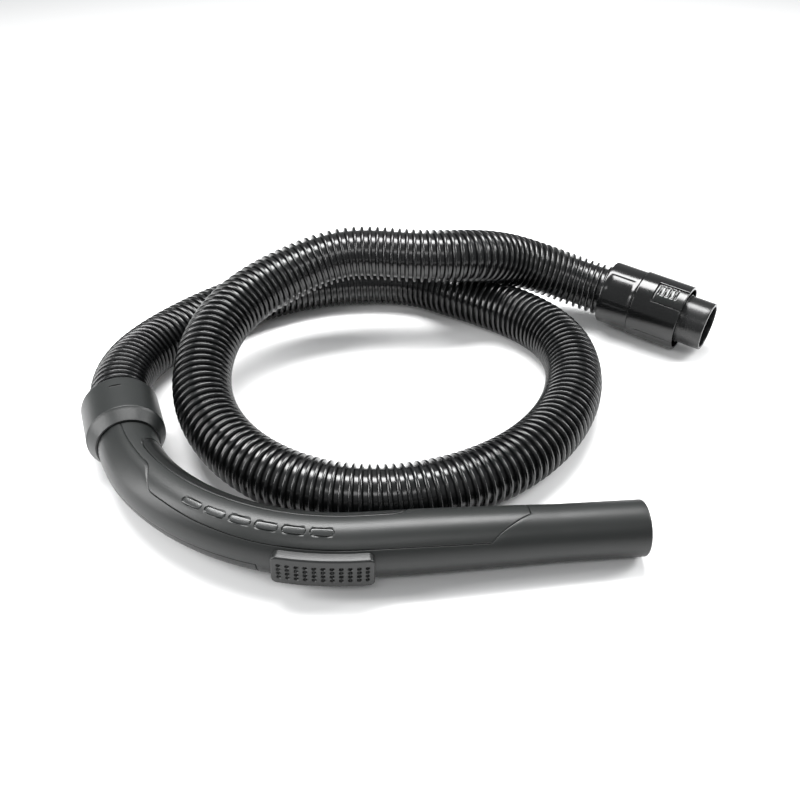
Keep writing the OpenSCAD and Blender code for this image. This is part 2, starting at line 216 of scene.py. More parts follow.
# Adds points along the long sides of a profile, so that a pattern can bend it.
def subdivided(profile, step):
    out = []
    for a, b in zip(profile, np.roll(profile, -1, 0)):
        n = max(1, int(np.linalg.norm(b - a) / step))
        out += [a + (b - a) * k / n for k in range(n)]
    return np.array(out)


# colour, tone spread, grain size per metre, grain height in mm, roughness, roughness spread, specular level
finishes = {
    "hose": dict(colour=(0.0045, 0.0048, 0.0050), spread=0.25, grain=900, height=0.02, rough=0.21,
                 roughSpread=0.10, specular=0.55),
    "collar": dict(colour=(0.0105, 0.0118, 0.0115), spread=0.10, grain=2600, height=0.05, rough=0.4,
                   roughSpread=0.08, specular=0.42),
    "grip_core": dict(colour=(0.0090, 0.0101, 0.0098), spread=0.10, grain=2600, height=0.05, rough=0.4,
                      roughSpread=0.08, specular=0.42),
    "cover_top": dict(colour=(0.0100, 0.0112, 0.0108), spread=0.10, grain=2600, height=0.05, rough=0.38,
                      roughSpread=0.08, specular=0.45),
    "cover_bottom": dict(colour=(0.0085, 0.0095, 0.0092), spread=0.10, grain=2600, height=0.05, rough=0.4,
                         roughSpread=0.08, specular=0.42),
    "soft_inlay": dict(colour=(0.0060, 0.0066, 0.0064), spread=0.08, grain=3200, height=0.02, rough=0.3,
                       roughSpread=0.06, specular=0.45),
    # the pads' base colour, lighter than the covers', is a painted highlight for the light their sunk faces
    # catch
    "pads": dict(colour=(0.0160, 0.0175, 0.0172), spread=0.06, grain=3200, height=0.015, rough=0.24,
                 roughSpread=0.05, specular=0.5),
    "slider": dict(colour=(0.0065, 0.0072, 0.0070), spread=0.10, grain=2600, height=0.05, rough=0.33,
                   roughSpread=0.08, specular=0.42),
    "vent_frame": dict(colour=(0.012, 0.012, 0.012), spread=0.10, grain=1800, height=0.03, rough=0.5,
                       roughSpread=0.05, specular=0.4),
    "plug_cuff": dict(colour=(0.0038, 0.0040, 0.0041), spread=0.18, grain=700, height=0.012, rough=0.16,
                      roughSpread=0.07, specular=0.5),
    "plug_shell": dict(colour=(0.0038, 0.0040, 0.0041), spread=0.18, grain=700, height=0.012, rough=0.15,
                       roughSpread=0.07, specular=0.5),
    "latch": dict(colour=(0.0045, 0.0047, 0.0048), spread=0.18, grain=700, height=0.012, rough=0.18,
                  roughSpread=0.07, specular=0.5),
    "plug_spigot": dict(colour=(0.0060, 0.0063, 0.0064), spread=0.15, grain=900, height=0.015, rough=0.26,
                        roughSpread=0.07, specular=0.5),
    "sleeve": dict(colour=(0.018, 0.018, 0.018), spread=0.10, grain=1500, height=0.02, rough=0.45,
                   roughSpread=0.06, specular=0.5),
    "seal": dict(colour=(0.012, 0.012, 0.012), spread=0.08, grain=2000, height=0.02, rough=0.55,
                 roughSpread=0.05, specular=0.4),
    "thrust_ring": dict(colour=(0.55, 0.55, 0.52), spread=0.05, grain=1500, height=0.02, rough=0.42,
                        roughSpread=0.05, specular=0.5),
}


def socketIn(group, kind, name, value=None):
    s = group.interface.new_socket(name=name, in_out="INPUT", socket_type=kind)
    if value is not None:
        s.default_value = value
    return s


# Moulded grain: a fine noise gives the height, a broad one shifts the tone and the roughness a little.
def makeMouldGrain():
    g = bpy.data.node_groups.new("mouldGrain", "ShaderNodeTree")
    socketIn(g, "NodeSocketColor", "Colour", (0.05, 0.05, 0.05, 1))
    for name, value in (("Spread", 0.1), ("Grain", 2000), ("Roughness", 0.4), ("Roughness Spread", 0.05)):
        socketIn(g, "NodeSocketFloat", name, value)
    for name, kind in (("Colour", "NodeSocketColor"), ("Roughness", "NodeSocketFloat"),
                       ("Height", "NodeSocketFloat")):
        g.interface.new_socket(name=name, in_out="OUTPUT", socket_type=kind)
    n, l = g.nodes, g.links
    gin, gout = n.new("NodeGroupInput"), n.new("NodeGroupOutput")
    where = n.new("ShaderNodeTexCoord")
    fine, broad = n.new("ShaderNodeTexNoise"), n.new("ShaderNodeTexNoise")
    fine.inputs["Detail"].default_value = 2
    broad.inputs["Detail"].default_value = 4
    broad.inputs["Scale"].default_value = 34
    l.new(where.outputs["Object"], fine.inputs["Vector"])
    l.new(where.outputs["Object"], broad.inputs["Vector"])
    l.new(gin.outputs["Grain"], fine.inputs["Scale"])
    # fine and broad noise together, about 0 in the middle
    mixed = n.new("ShaderNodeMath")
    mixed.operation = "ADD"
    l.new(fine.outputs["Fac"], mixed.inputs[0])
    l.new(broad.outputs["Fac"], mixed.inputs[1])
    centred = n.new("ShaderNodeMath")
    centred.operation = "SUBTRACT"
    centred.inputs[1].default_value = 1
    l.new(mixed.outputs[0], centred.inputs[0])
    tone = n.new("ShaderNodeMath")
    tone.operation = "MULTIPLY_ADD"
    tone.inputs[2].default_value = 1
    l.new(centred.outputs[0], tone.inputs[0])
    l.new(gin.outputs["Spread"], tone.inputs[1])
    shade = n.new("ShaderNodeVectorMath")
    shade.operation = "SCALE"
    l.new(gin.outputs["Colour"], shade.inputs[0])
    l.new(tone.outputs[0], shade.inputs["Scale"])
    rough = n.new("ShaderNodeMath")
    rough.operation = "MULTIPLY_ADD"
    l.new(centred.outputs[0], rough.inputs[0])
    l.new(gin.outputs["Roughness Spread"], rough.inputs[1])
    l.new(gin.outputs["Roughness"], rough.inputs[2])
    l.new(shade.outputs[0], gout.inputs["Colour"])
    l.new(rough.outputs[0], gout.inputs["Roughness"])
    l.new(fine.outputs["Fac"], gout.inputs["Height"])
    return g


mouldGrain = makeMouldGrain()


def makeFinish(name, f):
    m = bpy.data.materials.new(name)
    m.use_nodes = True
    n, l = m.node_tree.nodes, m.node_tree.links
    shader = n["Principled BSDF"]
    grain = n.new("ShaderNodeGroup")
    grain.node_tree = mouldGrain
    grain.inputs["Colour"].default_value = (*f["colour"], 1)
    for key, value in (("Spread", f["spread"]), ("Grain", f["grain"]), ("Roughness", f["rough"]),
                       ("Roughness Spread", f["roughSpread"])):
        grain.inputs[key].default_value = value
    bump = n.new("ShaderNodeBump")
    bump.inputs["Strength"].default_value = 0.6
    bump.inputs["Distance"].default_value = f["height"] * mm
    l.new(grain.outputs["Colour"], shader.inputs["Base Color"])
    l.new(grain.outputs["Roughness"], shader.inputs["Roughness"])
    l.new(grain.outputs["Height"], bump.inputs["Height"])
    l.new(bump.outputs["Normal"], shader.inputs["Normal"])
    shader.inputs["Specular IOR Level"].default_value = f["specular"]
    return m


paint = {name: makeFinish(name, f) for name, f in finishes.items()}


def dress(obj, name):
    obj.data.materials.clear()
    obj.data.materials.append(paint[name])
    return obj


print("finishes made:", len(paint))


view = dict(target=(-0.017, 0.042, 0), place=(-0.0807, -0.5259, 0.4385), lens=43.46)
cameraData = bpy.data.cameras.new("camera")
cameraData.lens = view["lens"]
cameraData.sensor_width = 36
cameraData.clip_start = 0.01
cameraData.clip_end = 50
camera = bpy.data.objects.new("camera", cameraData)
camera.location = view["place"]
camera.rotation_mode = "QUATERNION"
camera.rotation_quaternion = (Vector(view["target"]) - Vector(view["place"])).to_track_quat("-Z", "Y")
bpy.context.scene.collection.objects.link(camera)
bpy.context.scene.camera = camera

studio = {  # place, aim, size in metres, power in watts
    "overhead": ((-0.05, 0.32, 1.0), (0, 0.03, 0), (1.0, 0.34), 24),
    "left": ((-1.0, -0.1, 0.5), (-0.1, 0, 0.02), (0.3, 0.8), 10),
    "right": ((0.95, 0.1, 0.6), (0.1, 0, 0.02), (0.3, 0.6), 9),
    "front": ((-0.1, -0.9, 1.05), (0, 0, 0.02), (1.0, 0.22), 3.5),
}
for name, (place, aim, size, power) in studio.items():
    lamp = bpy.data.lights.new(name, "AREA")
    lamp.shape = "RECTANGLE"
    lamp.size, lamp.size_y, lamp.energy = size[0], size[1], power
    o = bpy.data.objects.new(name, lamp)
    o.location = place
    o.rotation_mode = "QUATERNION"
    o.rotation_quaternion = (Vector(aim) - Vector(place)).to_track_quat("-Z", "Y")
    bpy.context.scene.collection.objects.link(o)
world = bpy.data.worlds.new("studio")
bpy.context.scene.world = world
world.use_nodes = True
world.node_tree.nodes["Background"].inputs["Color"].default_value = (0.93, 0.95, 0.96, 1)
world.node_tree.nodes["Background"].inputs["Strength"].default_value = 0.42
bpy.context.scene.view_settings.view_transform = "Standard"

floorMesh = bpy.data.meshes.new("floor")
floorMesh.from_pydata([(-4, -4, 0), (4, -4, 0), (4, 4, 0), (-4, 4, 0)], [], [(0, 1, 2, 3)])
floor = bpy.data.objects.new("floor", floorMesh)
bpy.context.scene.collection.objects.link(floor)
floorPaint = bpy.data.materials.new("floor")
floorPaint.use_nodes = True
floorPaint.node_tree.nodes["Principled BSDF"].inputs["Base Color"].default_value = (0.83, 0.83, 0.83, 1)
floorPaint.node_tree.nodes["Principled BSDF"].inputs["Roughness"].default_value = 0.9
floorMesh.materials.append(floorPaint)
print("camera, lights and floor set")


hose = dict(radius=20.5, valley=17.6, bore=16.7, pitch=5.5, around=36,
            # height of the rib at eight places along one turn: floor, rise, crest, fall
            rib=[(0.00, 0.0), (0.20, 0.0), (0.40, 0.03), (0.50, 0.55), (0.60, 0.94), (0.74, 1.0),
                 (0.88, 0.94), (0.955, 0.50)],
            route=[(-197, -51, 5.5), (-209, -3, 5.5), (-221, 45, 5.5), (-211, 90, 1), (-179, 128, 0),
                   (-139, 160, 0), (-92, 181, 0), (-41, 188, 0), (10, 181, 0), (39, 158, 0),
                   (89, 119, 0), (115, 76, 0), (112, 24, 0), (89, -23, 0), (52, -59, 0),
                   (5, -80, 0), (-48, -85, 0), (-96, -69, 0.5), (-137, -35, 3.5), (-160, 10, 13),
                   (-157, 62, 24), (-135, 104, 34), (-96, 130, 42), (-47, 143, 54), (1, 130, 50),
                   (51, 132, 48), (87, 153, 32), (138, 147, 11), (174.4, 120.2, 8.3), (207.8, 93.4, 5.6)])


# The centre line is a uniform cubic B-spline of the route, walked at even steps of its own length.
def hoseLine(count):
    p = np.array(hose["route"], float) + (0, 0, hose["radius"])
    t = np.linspace(0, len(p) - 3, 6001)
    i = np.minimum(t.astype(int), len(p) - 4)
    u = (t - i)[:, None]
    c = ((1 - u) ** 3 * p[i] + (3 * u ** 3 - 6 * u ** 2 + 4) * p[i + 1] +
         (-3 * u ** 3 + 3 * u ** 2 + 3 * u + 1) * p[i + 2] + u ** 3 * p[i + 3]) / 6
    run = np.concatenate([[0], np.cumsum(np.linalg.norm(np.diff(c, axis=0), axis=1))])
    s = np.linspace(0, run[-1], count)
    return np.stack([np.interp(s, run, c[:, k]) for k in range(3)], -1), run[-1]


hosePath, hoseLen = hoseLine(2400)
hoseSteps = np.linspace(0, hoseLen, len(hosePath))
hoseAhead = np.gradient(hosePath, axis=0)
hoseAhead /= np.linalg.norm(hoseAhead, axis=1)[:, None]
hoseSide = np.cross(hoseAhead, (0, 0, 1))
hoseSide /= np.linalg.norm(hoseSide, axis=1)[:, None]
hoseUp = np.cross(hoseSide, hoseAhead)


def hosePoint(s, ang, r):  # centre plus r times (cos up + sin side)
    look = lambda a: np.stack([np.interp(s, hoseSteps, a[:, k]) for k in range(3)], -1)
    return (look(hosePath) + r[..., None] *
            (np.cos(ang)[..., None] * look(hoseUp) + np.sin(ang)[..., None] * look(hoseSide))) * mm


# The rows of the outside follow the rib's helix: one turn round the tube moves a row on by one pitch.
def makeHose():
    n, rib = hose["around"], np.array(hose["rib"])
    per = len(rib)
    turns = int(hoseLen / hose["pitch"]) + 2
    i, j = np.meshgrid(np.arange(turns * per + 1), np.arange(n), indexing="ij")
    s = (i // per + rib[i % per, 0] + j / n - 1) * hose["pitch"]
    s = np.clip(s, 0, hoseLen)
    ends = np.clip(np.minimum(s, hoseLen - s) / hose["pitch"] - 1, 0, 1)
    r = hose["valley"] + (hose["radius"] - 0.02 - hose["valley"]) * rib[i % per, 1] * ends
    outside = hosePoint(s, j / n * 2 * np.pi, r)
    rows = len(outside)
    a = gridFaces(rows, n)  # all but the seam column
    k = np.arange(rows - 1)
    ahead, ahead1 = np.minimum(k + per, rows - 1), np.minimum(k + 1 + per, rows - 1)
    seam = np.stack([k * n + n - 1, ahead * n, ahead1 * n, (k + 1) * n + n - 1], -1)
    si, aj = np.meshgrid(np.linspace(0, hoseLen, 270), np.arange(n) / n * 2 * np.pi, indexing="ij")
    inside = hosePoint(si, aj, np.full(si.shape, hose["bore"]))
    start = rows * n
    b = gridFaces(len(inside), n, False, True, start)
    c = np.arange(n)
    d = (c + 1) % n
    capA = np.stack([c, d, start + d, start + c], -1)
    last, lastIn = (rows - 1) * n, start + (len(inside) - 1) * n
    capB = np.stack([last + c, last + d, lastIn + d, lastIn + c], -1)
    verts = np.concatenate([outside.reshape(-1, 3), inside.reshape(-1, 3)])
    faces = np.concatenate([a, seam, b, capA, capB])
    faces = [list(dict.fromkeys(f)) for f in faces.tolist()]
    return finishMesh("hose_ribbed", verts, [f for f in faces if len(f) > 2], "hose_line", sharp=60)


hosePiece = dress(makeHose(), "hose")
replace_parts(hosePiece, "hose")
print("hose", round(hoseLen), "mm")


collar = dict(outer=26, bore=23.3, length=34, lip=21.2, mouth=19.9, windows=4, windowTurn=0, windowAt=8.4,
              windowW=8, windowL=2.2)


# The collar's wall between its outside and its bore, with the snap windows left open.
def makeCollar():
    c = collar
    half = math.degrees(math.asin(c["windowW"] / 2 / c["outer"]))
    ends = [c["windowTurn"] + k * 360 / c["windows"] + e for k in range(c["windows"]) for e in (-half, half)]
    # extra columns close to the ends of each window
    ang = lines(-45, 315, 2.5, ends, (-1.6, -0.8, 0, 0.8, 1.6))[:-1]
    w0, w1 = c["windowAt"], c["windowAt"] + c["windowL"]
    profile = [(c["outer"] - 0.9, 0.0), (c["outer"] - 0.5, 0.06), (c["outer"] - 0.18, 0.28),
               (c["outer"] - 0.03, 0.62), (c["outer"], 1.1)]
    profile += [(c["outer"], z) for z in lines(1.6, 33.2, 2.4, (w0, w1), (-0.3, 0, 0.3))]
    profile += [(c["outer"] - 0.02, 33.55), (c["outer"] - 0.14, 33.85), (c["outer"] - 0.42, 34.16)]
    profile += [(c["outer"] - 0.42 + (c["lip"] - c["outer"] + 0.42) * t, 34.16 + (42.75 - 34.16) * t)
                for t in (0.15, 0.35, 0.55, 0.75, 0.93)]
    profile += [(c["lip"] - 0.08, 42.88), (c["lip"] - 0.35, 43.0), (c["mouth"] + 0.2, 43.0)]
    profile = np.array(profile)
    z = profile[:, 1]
    inner = np.where(z < 33.9, c["bore"], c["mouth"])
    innerZ = np.where(z < 33.9, z, np.maximum(z, 34.0))
    a = np.radians(ang)[None, :]
    shape = lambda r, h: placeCollar(np.stack([r[:, None] * np.cos(a), h[:, None] + 0 * a,
                                               -r[:, None] * np.sin(a)], -1))
    holes = [(int(np.argmin(abs(z - w0))), int(np.argmin(abs(z - w1))),
              int(np.argmin(abs(ang - ends[2 * k]))), int(np.argmin(abs(ang - ends[2 * k + 1]))))
             for k in range(c["windows"])]
    verts, faces = walled(shape(profile[:, 0], z), shape(inner, innerZ), True, holes)
    return finishMesh("collar_body", verts, faces, "hose_line")


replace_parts(dress(makeCollar(), "collar"), "swivel_collar")
print("collar made")


cover = dict(topTo=209.5, bottomFrom=210.5, bottomTo=351.5, bottomEnd=31.6, core=16.85, under=17.0,
             end=101, slantAt=72, slant=60, edge=0.55, seam=0.15, even=92)
inlay = dict(start=9, end=29, phiFrom=104, phiTo=168, depth=1.3, gap=0.25, inset=3.2)
pads = dict(count=6, at=15.6, step=5.7, length=4.9, phi=68, width=14, depth=0.8, gap=0.12)
vent = dict(start=36.1, end=51.8, halfPhi=25, depth=1.3, slotStart=37.7, slotEnd=50.3, slotHalfPhi=9)


# The top cover's outer edge: high beside the collar, stepping down at the end of the tighter bend, then
# falling slowly.
def coverFrom(s):
    return np.interp(s, [gripLine["neck"], 70, 87.5, 91, 104, 107, 118, 140, 175, wandAt + 70],
                     [82.5, 86.5, 87, 84, 51, 48.5, 47, 42, 37.5, 34])


# Where the top cover ends at angle phi: level with the slanted line outwards, square on the far side.
def coverEnd(phi):
    x = 18.4 * np.cos(np.radians(np.clip(phi, 34, cover["topTo"])))
    return wandAt + np.minimum(cover["end"], cover["slantAt"] - (x - 17) * math.tan(rad(cover["slant"])))


evenTo = wandAt + 36
plainEnd = wandAt + cover["end"]
coverStart = gripLine["neck"] + cover["seam"]


# Bends the grid's even lines so that one of them follows the cover's end all the way round.
def warped(s, phi):
    e = coverEnd(phi)
    f = np.clip((s - evenTo) / (plainEnd - evenTo), 0, 1)
    g = np.clip((s - plainEnd) / (wandAt + gripLine["fitFrom"] - plainEnd), 0, 1)
    out = np.where(s > evenTo, evenTo + (e - evenTo) * f, s)
    return np.where(s > plainEnd,
                    e + (wandAt + gripLine["fitFrom"] - e) * g +
                    np.maximum(s - wandAt - gripLine["fitFrom"], 0), out)


arcMM = rad(1) * 19.5  # millimetres round the tube for one degree


# distance inside a rounded rectangle on the tube's skin, in mm
def insideBox(s, phi, s0, s1, p0, p1, corner=0.0):
    a = np.abs(s - (s0 + s1) / 2) - (s1 - s0) / 2 + corner
    b = np.abs(phi - (p0 + p1) / 2) * arcMM - (p1 - p0) / 2 * arcMM + corner
    return corner - (np.hypot(np.maximum(a, 0), np.maximum(b, 0)) + np.minimum(np.maximum(a, b), 0))


inlayBox = (gripLine["neck"] + gripLine["bend1R"] * rad(inlay["start"]), wandAt + inlay["end"],
            inlay["phiFrom"], inlay["phiTo"])
padBoxes = [(alongBend2(m - pads["length"] / 2), alongBend2(m + pads["length"] / 2),
             pads["phi"] - pads["width"] / 2, pads["phi"] + pads["width"] / 2)
            for m in (pads["at"] + k * pads["step"] for k in range(pads["count"]))]


def makeTopCover():
    # columns: v runs from 0 at the outer edge to 1 where the even angles begin, and is the angle beyond
    near = np.concatenate([[0, 0.45, 0.9, 1.6, 2.4],
                           lines(4, 52, 2.2, (19.4, 33.4), (-1.6, -0.9, -0.45, 0, 0.45, 0.9, 1.6))]) / 54
    ang = np.concatenate([near,
                          lines(cover["even"], cover["topTo"], 3.0,
                                (inlay["phiFrom"], inlay["phiTo"], cover["topTo"]),
                                (-2.4, -1.6, -0.9, -0.45, 0, 0.45, 0.9, 1.6, 2.4))])
    along = lines(coverStart, plainEnd - cover["seam"], 2.2,
                  (coverStart, inlayBox[0], inlayBox[1], plainEnd - cover["seam"]) +
                  tuple(e for b in padBoxes for e in b[:2]), (-0.9, -0.5, -0.2, 0, 0.2, 0.5, 0.9))
    s0, v = np.meshgrid(along, ang, indexing="ij")
    low = coverFrom(s0) + 0.5
    phi = np.where(v < 1, low + (cover["even"] - low) * v, v)
    s = warped(s0, phi)
    top = gripRadius(s)
    edge = np.minimum(np.minimum((phi - low) * arcMM, (cover["topTo"] - phi) * arcMM),
                      np.minimum(s - coverStart, (plainEnd - cover["seam"] - s0) * 0.7))
    r = top - dip(edge, cover["edge"])
    d = insideBox(s, phi, *inlayBox, corner=11)
    r = np.where(d > -0.15, top - inlay["depth"] - 0.2, r - dip(-d - 0.15, 0.4) * (d > -0.6))
    for b in padBoxes:
        d = insideBox(s, phi, *b, corner=2.9)
        r = np.where(d > -0.1, top - pads["depth"] - 0.15, r - dip(-d - 0.1, 0.35) * (d > -0.5))
    verts, faces = walled(gripWall(s, phi, r), gripWall(s, phi, np.minimum(cover["under"] + 0 * s, r - 0.4)),
                          False)
    return finishMesh("grip_top_shell", verts, faces, "grip")


def makeBottomCover():
    end = alongBend2(cover["bottomEnd"])
    ang = lines(cover["bottomFrom"], cover["bottomTo"], 3.0, (cover["bottomFrom"], cover["bottomTo"]),
                (0, 0.45, 0.9, 1.6, 2.4, -0.45, -0.9, -1.6, -2.4))
    along = lines(coverStart, end, 2.5, (coverStart, end), (-0.9, -0.5, -0.2, 0, 0.2, 0.5, 0.9))
    s, phi = np.meshgrid(along, ang, indexing="ij")
    edge = np.minimum(np.minimum((phi - cover["bottomFrom"]) * arcMM, (cover["bottomTo"] - phi) * arcMM),
                      np.minimum(s - coverStart, end - s))
    r = gripRadius(s) - dip(edge, cover["edge"])
    verts, faces = walled(gripWall(s, phi, r), gripWall(s, phi, cover["under"] + 0 * s), False)
    return finishMesh("grip_bottom_shell", verts, faces, "grip")


# The core: outside where it shows, sunk under the covers and the slider's frame, and the airway inside.
def makeGripCore():
    bottomEnd = alongBend2(cover["bottomEnd"]) + cover["seam"]
    v0, v1 = alongBend2(vent["start"]), alongBend2(vent["end"])
    t0, t1 = alongBend2(vent["slotStart"]), alongBend2(vent["slotEnd"])
    ang = lines(-150, 210, 3.2, (-150, -8, -vent["halfPhi"], vent["halfPhi"], 9),
                (-1.6, -0.9, -0.45, 0, 0.45, 0.9, 1.6))[:-1]
    # the columns between the vent and the top follow the cover's edge, which is the even grid's angle 34
    ang = np.unique(np.concatenate([ang, 34 + np.array([-1.6, -0.9, -0.45, 0, 0.45, 0.9, 1.6])]))
    fit = wandAt + gripLine["fitFrom"]
    along = lines(31.6, tipAt - 2, 2.6, (33.7, gripLine["neck"], bottomEnd, v0, v1, t0, t1, plainEnd, fit),
                  (-0.6, -0.3, -0.1, 0, 0.1, 0.3, 0.6))
    s0, p0 = np.meshgrid(along, ang, indexing="ij")
    low = coverFrom(s0)
    phi = np.where(p0 < 27, p0,
                   np.where(p0 < 34, 27 + (low - 27) * (p0 - 27) / 7,
                            np.where(p0 < 120, low + (120 - low) * (p0 - 34) / 86, p0)))
    s = warped(s0, phi)
    top = gripRadius(s)
    edgeTop = np.minimum(np.minimum((phi - low) * arcMM, (210 - phi) * arcMM), (plainEnd - s0) * 0.7)
    edgeTop = np.minimum(edgeTop, s - gripLine["neck"])
    edgeBottom = np.minimum(np.minimum((phi + 150) * arcMM + 0.3, (-8 - phi) * arcMM),
                            np.minimum(bottomEnd - s, s - gripLine["neck"]))
    edge = np.maximum(edgeTop, edgeBottom)
    r = np.where(edge > 0, cover["core"], top - dip(-edge, cover["edge"]))
    d = insideBox(s, phi, v0, v1, -vent["halfPhi"], vent["halfPhi"], 0.5)
    r = np.where(d > 0, np.minimum(r, top - vent["depth"] - 0.05), r)
    d = insideBox(s, phi, t0, t1, -vent["slotHalfPhi"], vent["slotHalfPhi"], 0.3)
    r = np.where(d > 0, 15.5, r)
    r = np.where(s < gripLine["neck"], np.where(s < 33.75, 22.95, 19.5), r)
    tip = [(tipAt - 1.4, 0.0), (tipAt - 0.85, 0.05), (tipAt - 0.4, 0.28), (tipAt - 0.12, 0.62), (tipAt, 1.0),
           (tipAt, 1.9), (tipAt - 0.3, 2.2)]
    s = np.concatenate([s] + [np.full((1, len(ang)), a) for a, _ in tip])
    phi = np.concatenate([phi] + [ang[None, :]] * len(tip))
    r = np.concatenate([r] + [np.full((1, len(ang)), 17.48 - b) for _, b in tip])
    back = np.concatenate([[tipAt - 1], np.linspace(tipAt - 6, 31.6, 110)])
    si, pi = np.meshgrid(back, ang, indexing="ij")
    pts = np.concatenate([gripWall(s, phi, r), gripWall(si, pi, 15.22 + 0 * si)])
    return finishMesh("grip_core_tube", pts, gridFaces(len(pts), len(ang), True, True), "grip")


# The soft strip: a thin slab in its bed, its edge rounded over and a fine line set in from the rim.
def makeInlay():
    b = inlayBox
    n = 200
    t = np.concatenate([[0], np.linspace(0.16, 0.78, 7), [0.84, 0.88, 0.92, 0.955, 0.98, 0.993, 1.0]])
    corner, gap = 11.0, inlay["gap"]
    halfS, halfP = (b[1] - b[0]) / 2 - gap, (b[3] - b[2]) / 2 * arcMM - gap
    # the outline: straight sides joined by quarter circles, walked at even steps
    side = np.linspace(0, 1, n, endpoint=False)
    straightS, straightP = halfS - corner, halfP - corner
    total = 4 * (straightS + straightP) + 2 * np.pi * corner
    run = side * total
    knots = np.cumsum([0, straightP, corner * np.pi / 2, 2 * straightS, corner * np.pi / 2, 2 * straightP,
                       corner * np.pi / 2, 2 * straightS, corner * np.pi / 2, straightP])
    def walk(k, q):
        a = q / corner
        return [(halfS, q), (straightS + corner * np.cos(a), straightP + corner * np.sin(a)),
                (straightS - q, halfP),
                (-straightS - corner * np.sin(a), straightP + corner * np.cos(a)), (-halfS, straightP - q),
                (-straightS - corner * np.cos(a), -straightP - corner * np.sin(a)), (-straightS + q, -halfP),
                (straightS + corner * np.sin(a), -straightP - corner * np.cos(a)), (halfS, -straightP + q)][k]
    x, y = np.zeros(n), np.zeros(n)
    for k in range(9):
        m = (run >= knots[k]) & (run < knots[k + 1] + 1e-9)
        wx, wy = walk(k, run - knots[k])
        x[m], y[m] = np.broadcast_to(wx, n)[m], np.broadcast_to(wy, n)[m]
    # each ring shrinks the outline towards a spine along the strip's middle
    spine = np.clip(x, -halfS + corner, halfS - corner)
    px = spine[None, :] + (x - spine)[None, :] * t[:, None]
    py = y[None, :] * t[:, None]
    s, phi = (b[0] + b[1]) / 2 + px, (b[2] + b[3]) / 2 + py / arcMM
    depthIn = (1 - t)[:, None] * halfP
    top = gripRadius(s) - 0.02 - dip(depthIn + 0 * s,
                                     0.7) - 0.28 * np.exp(-((depthIn - inlay["inset"]) / 0.28) ** 2)
    outer = gripWall(s, phi, top)
    low = gripWall(s, phi, gripRadius(s) - inlay["depth"])
    verts = np.concatenate([outer.reshape(-1, 3), low.reshape(-1, 3)])
    c = np.arange(n)
    d = (c + 1) % n
    size = len(t) * n
    last = (len(t) - 1) * n
    f = [gridFaces(len(t), n, False, True), gridFaces(len(t), n, False, True, size),
         np.stack([last + c, last + d, size + last + d, size + last + c], -1)]
    return finishMesh("grip_soft_strip", verts, np.concatenate(f), "grip")


# One pad: rings shrinking from a rounded outline to its middle, rounded over at the edge and slightly
# crowned.
def makePads():
    t = np.array([0, 0.35, 0.6, 0.78, 0.88, 0.94, 0.98, 1.0])
    n = 48
    allV, allF = [], []
    for b in padBoxes:
        halfS, halfP = (b[1] - b[0]) / 2 - pads["gap"], (b[3] - b[2]) / 2 * arcMM - pads["gap"]
        a = np.linspace(0, 2 * np.pi, n, endpoint=False)
        p = 5.0  # a soft rectangle: |x/a|^p + |y/b|^p = 1
        k = (np.abs(np.cos(a)) ** p + np.abs(np.sin(a)) ** p) ** (-1 / p)
        x, y = halfS * k * np.cos(a), halfP * k * np.sin(a)
        s = (b[0] + b[1]) / 2 + x[None, :] * t[:, None]
        phi = (b[2] + b[3]) / 2 + y[None, :] * t[:, None] / arcMM
        depthIn = (1 - t)[:, None] * halfP
        top = gripRadius(s) - 0.1 - dip(depthIn + 0 * s, 0.5)
        size = len(t) * n
        start = sum(len(v) for v in allV)
        allV.append(np.concatenate([gripWall(s, phi, top).reshape(-1, 3),
                                    gripWall(s, phi, gripRadius(s) - pads["depth"]).reshape(-1, 3)]))
        c = np.arange(n)
        d = (c + 1) % n
        last = (len(t) - 1) * n
        allF += [gridFaces(len(t), n, False, True, start), gridFaces(len(t), n, False, True, start + size),
                 start + np.stack([last + c, last + d, size + last + d, size + last + c], -1)]
    return finishMesh("finger_pads", np.concatenate(allV), np.concatenate(allF), "grip")


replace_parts(dress(makeTopCover(), "cover_top"), "grip_cover_top")
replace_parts(dress(makeBottomCover(), "cover_bottom"), "grip_cover_bottom")
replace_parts(dress(makeGripCore(), "grip_core"), "handle_tube")
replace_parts(dress(makeInlay(), "soft_inlay"), "grip_inlay")
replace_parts(dress(makePads(), "pads"), "grip_pads")
print("grip made")


slider = dict(start=34.9, end=54.4, halfW=10.5, height=3.9, seat=20.0, corner=3.6, edge=1.3, columns=11,
              rows=4, firstColumn=0.08, lastColumn=0.92,
              rowTop=4.3, rowStep=3.05, dimple=1.2, dimpleDepth=1.6)


# The slider's face is flat across and follows the bend; its outline has round corners, and a field of dimples
# is pressed into it.
def makeSlider():
    f = slider
    s0, s1 = alongBend2(f["start"]), alongBend2(f["end"])
    along = lines(s0, s1, 0.36, (s0, s1), (0, 0.12, 0.3, 0.55, 0.9, 1.3, -0.12, -0.3, -0.55, -0.9, -1.3))
    across = lines(-1, 1, 0.034, (-1, 1),
                   (0, 0.012, 0.03, 0.055, 0.09, 0.13, -0.012, -0.03, -0.055, -0.09, -0.13))
    s, v = np.meshgrid(along, across, indexing="ij")
    d = np.minimum(s - s0, s1 - s)
    half = f["halfW"] - dip(d, f["corner"])
    h = v * half
    edge = np.minimum(d, half - np.abs(h))
    x = 19.6 + f["height"] - 0.02 - dip(edge, f["edge"])
    for c in range(f["columns"]):
        cs = s0 + (s1 - s0) * (f["firstColumn"] + (f["lastColumn"] - f["firstColumn"]) * c /
                               (f["columns"] - 1))
        for k in range(f["rows"]):
            near = np.hypot(s - cs, h - (f["rowTop"] - k * f["rowStep"])) / f["dimple"]
            x = x - f["dimpleDepth"] * np.maximum(1 - near ** 4, 0)
    seat = np.sqrt(f["seat"] ** 2 - h ** 2)
    verts, faces = walled(gripPoint(s, x, h), gripPoint(s, seat, h), False)
    return finishMesh("slider_cap", verts, faces, "bleed_slider")


